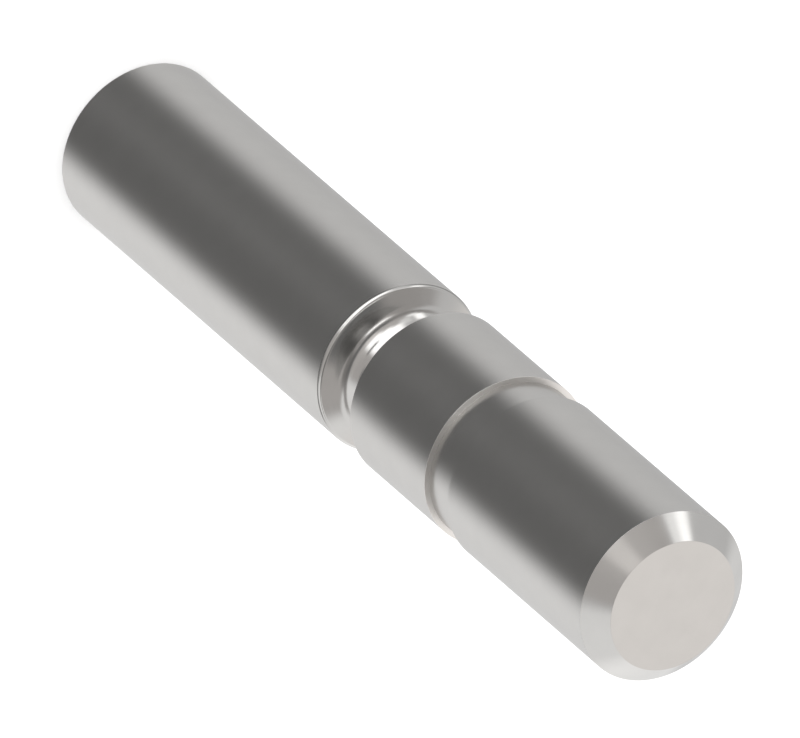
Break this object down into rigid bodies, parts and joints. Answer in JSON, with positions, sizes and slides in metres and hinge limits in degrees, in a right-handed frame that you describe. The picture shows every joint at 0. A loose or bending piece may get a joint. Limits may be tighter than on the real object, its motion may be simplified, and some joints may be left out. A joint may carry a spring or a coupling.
{
  "type": "actuator pin",
  "caption": "Round steel pin with a plain flat end, a chamfered tip, a deep neck at mid-length and a shallow ring groove between neck and tip.",
  "frame": {"origin": "centre of the plain end face, on which the pin stands", "axes": "+Z along the pin's axis from the plain end to the chamfered tip; X and Y are any pair across it, as the pin is round"},
  "size_m": [0.008, 0.008, 0.0455],
  "materials": {
    "steel": "bare hardened steel, lands ground to a satin, grooves and chamfer fine-turned"
  },
  "bodies": {
    "root": {"actuator_pin": "steel"}
  },
  "joints": []
}
